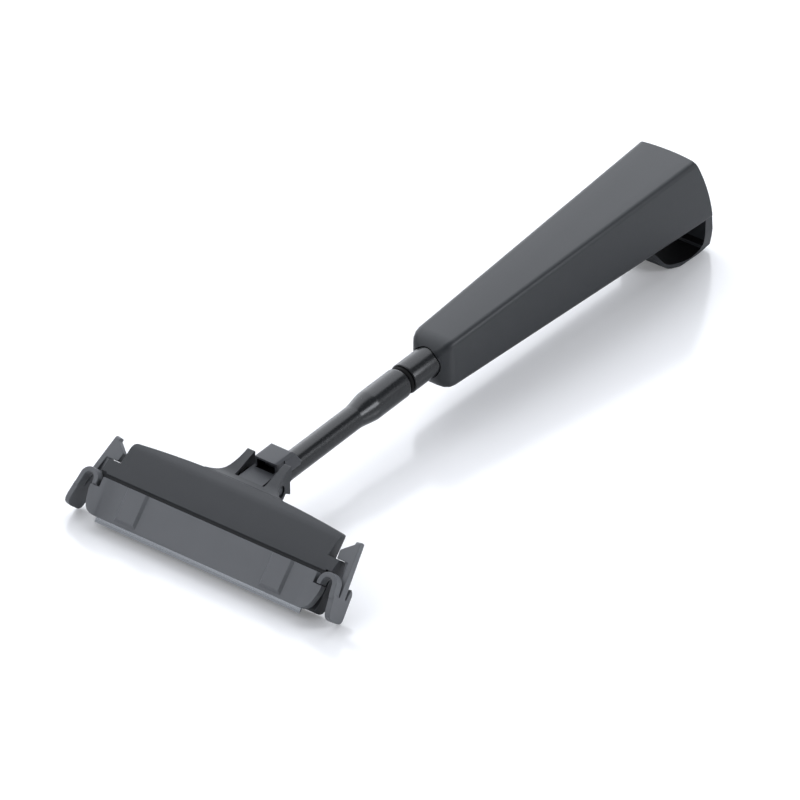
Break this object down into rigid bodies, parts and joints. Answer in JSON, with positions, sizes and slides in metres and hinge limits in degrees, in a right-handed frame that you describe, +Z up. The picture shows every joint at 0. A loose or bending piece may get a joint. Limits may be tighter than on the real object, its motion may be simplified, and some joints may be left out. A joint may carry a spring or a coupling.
{
  "type": "aquarium glass scraper",
  "caption": "Hand scraper for aquarium glass: a tapered handle with a hanging hook, a plug-in neck and a tilting blade head with a squeeze-release blade clip.",
  "frame": {"origin": "bottom centre of the bounding box, on the surface the tool lies on", "axes": "+X across the blade, +Y from the blade towards the hook end of the handle, +Z up from the surface the tool lies on"},
  "size_m": [0.114, 0.2736, 0.041],
  "materials": {
    "handle_plastic": "fine satin mould grain",
    "head_plastic": "satin",
    "clip_plastic": "satin",
    "knuckle_plastic": "satin",
    "neck_plastic": "semi-gloss",
    "blade_steel": "ground",
    "pin_steel": "drawn",
    "seal_rubber": "matt"
  },
  "bodies": {
    "handle": {"handle_shell": "handle_plastic", "handle_base": "handle_plastic", "base_screw_front": "pin_steel", "base_screw_rear": "pin_steel", "socket_pin": "pin_steel", "socket_tube": "neck_plastic"},
    "neck": {"neck_tube": "neck_plastic", "seal_ring": "seal_rubber", "knuckle": "knuckle_plastic", "knuckle_pin": "pin_steel"},
    "head": {"head_body": "head_plastic", "hinge_pin": "pin_steel", "friction_washer_left": "seal_rubber", "friction_washer_right": "seal_rubber", "blade": "blade_steel", "clip_plate": "clip_plastic", "spring_loop_left": "clip_plastic", "spring_loop_right": "clip_plastic"},
    "lever_left": {"lever_left": "clip_plastic"},
    "lever_right": {"lever_right": "clip_plastic"}
  },
  "joints": [
    {"name": "neck_pull", "type": "slide", "parent": "handle", "child": "neck", "axis": [0, -0.9983, -0.0576], "range_m": [0, 0.027]},
    {"name": "head_tilt", "type": "hinge", "parent": "neck", "child": "head", "pos_m": [0, -0.10277, 0.01912], "axis": [1, 0, 0], "range_deg": [-45, 45]},
    {"name": "left_lever_release", "type": "hinge", "parent": "head", "child": "lever_left", "pos_m": [-0.0548, -0.13147, 0.01075], "axis": [0, -0.7581, 0.6521], "range_deg": [0, 12], "stiffness_Nm_per_rad": 0.15},
    {"name": "right_lever_release", "type": "hinge", "parent": "head", "child": "lever_right", "pos_m": [0.0548, -0.13147, 0.01075], "axis": [0, 0.7581, -0.6521], "range_deg": [0, 12], "stiffness_Nm_per_rad": 0.15}
  ]
}
